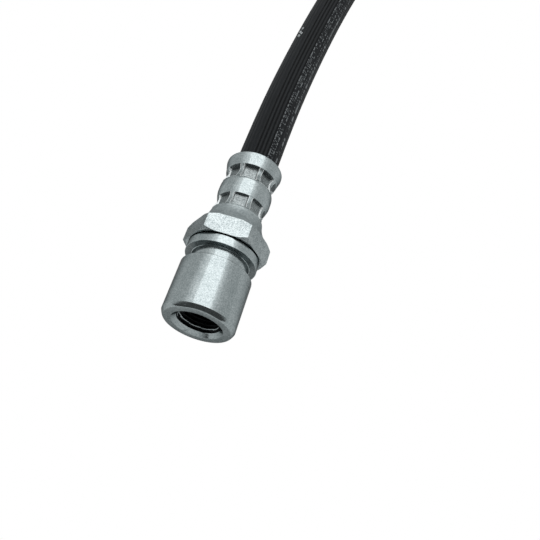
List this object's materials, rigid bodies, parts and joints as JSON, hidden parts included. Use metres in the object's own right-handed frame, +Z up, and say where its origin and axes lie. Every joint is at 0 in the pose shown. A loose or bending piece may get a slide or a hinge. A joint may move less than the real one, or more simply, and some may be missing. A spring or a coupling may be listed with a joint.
{
  "type": "hydraulic brake hose assembly",
  "caption": "Braided rubber brake hose with a crimped female bracket-end fitting with a hexagon and clip groove, and a banjo end with its hollow bolt and sealing washers.",
  "frame": {"origin": "on the axis of the bracket-end fitting's port, where its thread starts", "axes": "+Y along the bracket-end fitting towards the hose, +Z up and square to the hexagon's upper flat, +X to the right; the assembly lies on a surface at z = -8.5 mm"},
  "size_m": [0.0658, 0.3563, 0.0211],
  "materials": {
    "zinc_plated_steel": "bright zinc plating over fine turning marks",
    "nipple_steel": "plain turned steel",
    "bolt_steel": "bright zinc plating",
    "liner_rubber": "smooth moulded rubber",
    "braid_yarn": "tight braid of synthetic yarn",
    "cover_rubber": "satin rubber with fine lengthwise ribs",
    "copper": "soft annealed copper"
  },
  "bodies": {
    "hose_assembly": {"bracket_end_body": "zinc_plated_steel", "bracket_end_nipple": "nipple_steel", "hose_liner": "liner_rubber", "hose_inner_braid": "braid_yarn", "hose_cushion": "liner_rubber", "hose_outer_braid": "braid_yarn", "hose_cover": "cover_rubber", "banjo_end_socket": "zinc_plated_steel", "banjo_end_nipple": "nipple_steel", "banjo_eye": "zinc_plated_steel"},
    "head_washer": {"head_washer": "copper"},
    "banjo_bolt": {"banjo_bolt": "bolt_steel"},
    "caliper_washer": {"caliper_washer": "copper"}
  },
  "joints": [
    {"name": "bolt_withdraw", "type": "slide", "parent": "hose_assembly", "child": "head_washer", "axis": [1, 0, 0], "range_m": [0, 0.025]},
    {"name": "bolt_spin", "type": "hinge", "parent": "head_washer", "child": "banjo_bolt", "pos_m": [0.042, 0.345, 0.002], "axis": [1, 0, 0], "continuous": true},
    {"name": "caliper_washer_slide", "type": "slide", "parent": "hose_assembly", "child": "caliper_washer", "axis": [-1, 0, 0], "range_m": [0, 0.0115]}
  ]
}
